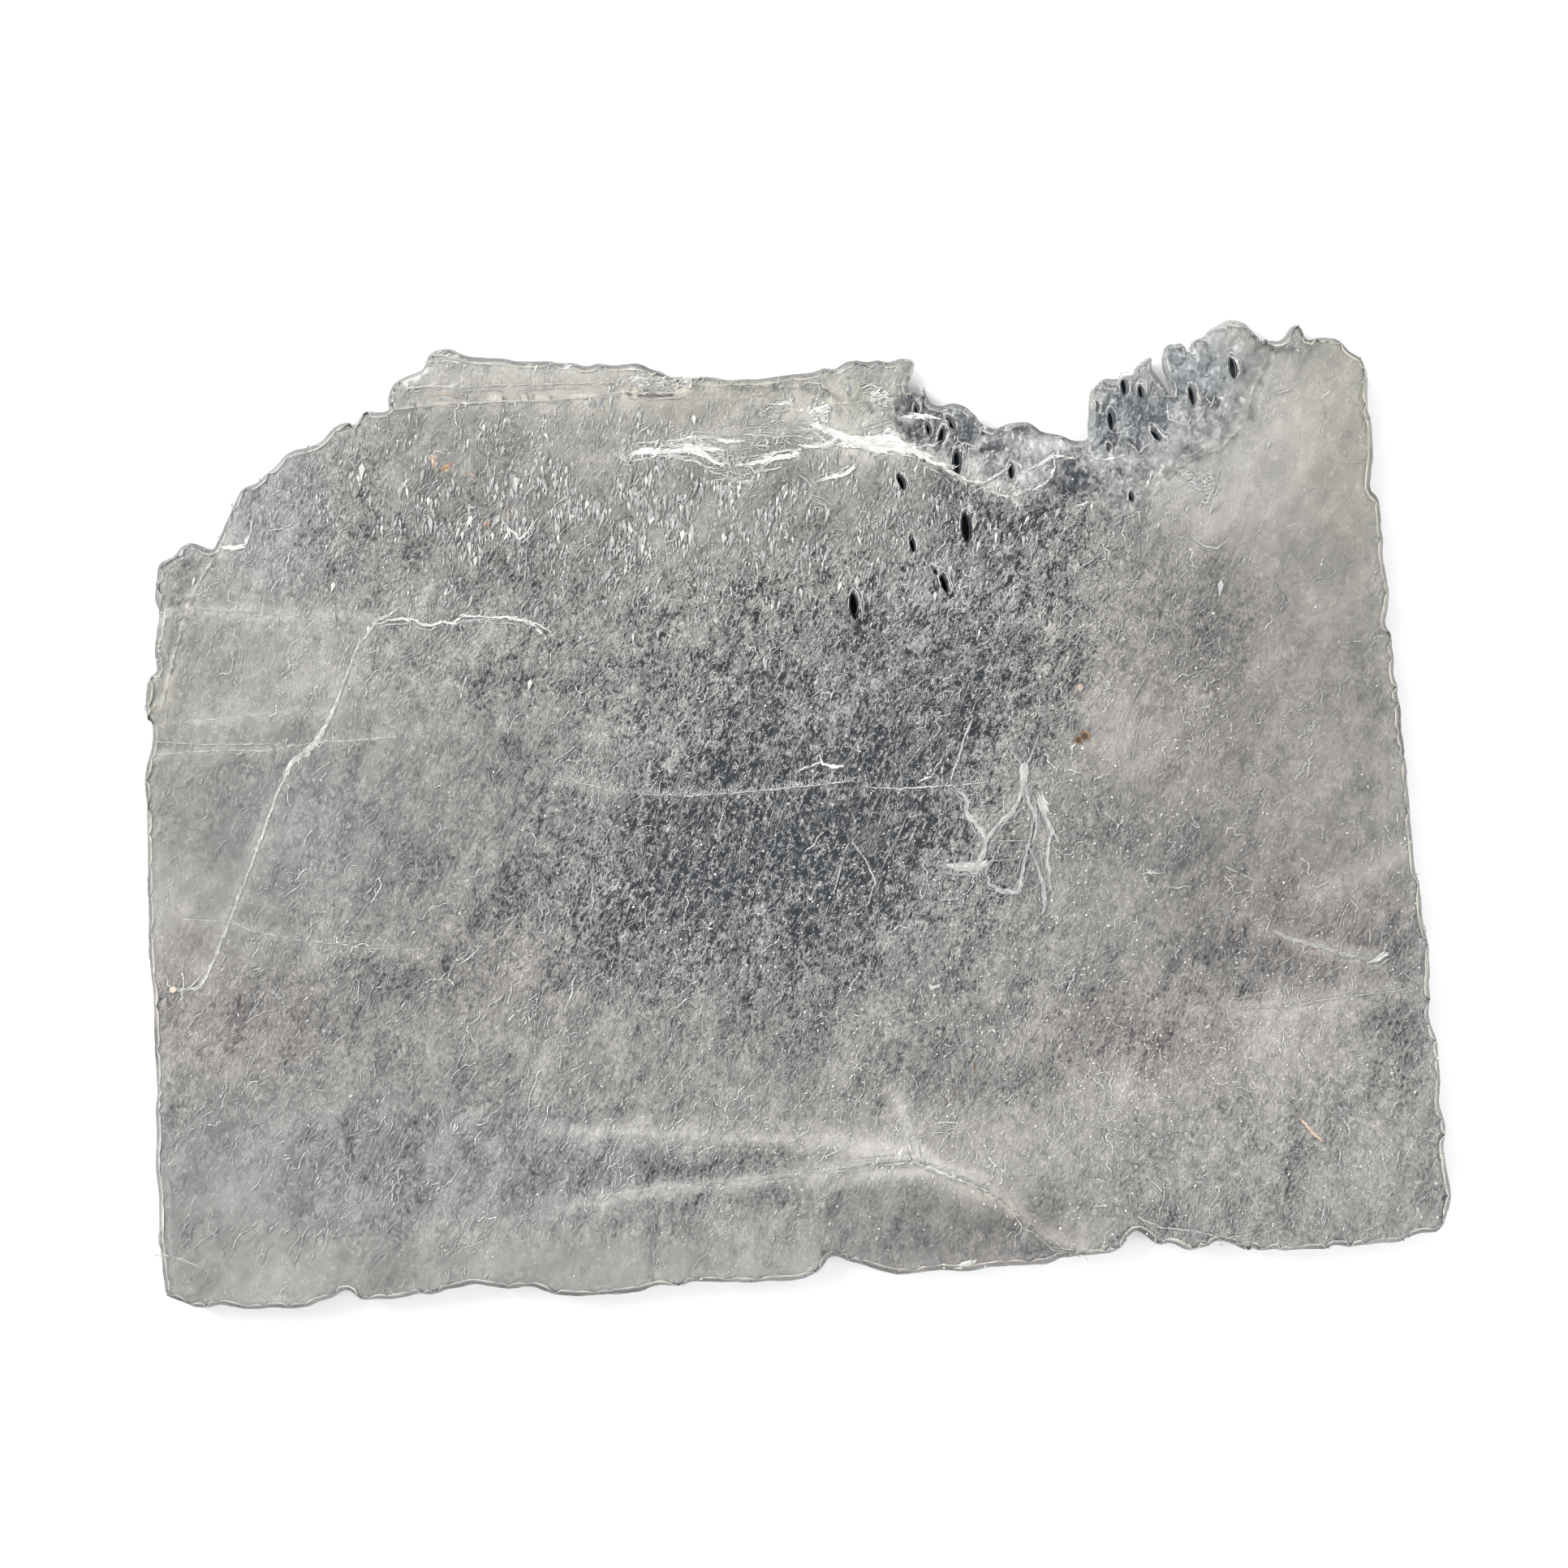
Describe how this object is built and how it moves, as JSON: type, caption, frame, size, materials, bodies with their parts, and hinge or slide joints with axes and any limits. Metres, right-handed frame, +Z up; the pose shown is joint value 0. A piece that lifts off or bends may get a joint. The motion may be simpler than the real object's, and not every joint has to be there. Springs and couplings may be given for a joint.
{
  "type": "selenite slab",
  "caption": "Natural cleavage slab of clear selenite crystal, flat on both faces, with a broken rim, white fractures and a pitted, water-etched corner.",
  "frame": {"origin": "on the lower cleavage face, under the middle of the slab's bounding box", "axes": "+X along the slab's longest side, +Y across it towards the etched corner's edge, +Z up through its thickness"},
  "size_m": [0.282, 0.2142, 0.014],
  "materials": {
    "selenite": "clear to cloudy natural gypsum crystal, satin cleavage faces, frosted broken edges, IOR 1.52",
    "white_fracture": "white light-scattering cracks, feathers and veils sealed in the crystal",
    "iron_stain": "rust-brown, orange and dark red iron stains sealed in the crystal",
    "pit_shadow": "dark film on the walls of the solution pits"
  },
  "bodies": {
    "root": {"selenite_slab": "selenite"}
  },
  "joints": []
}
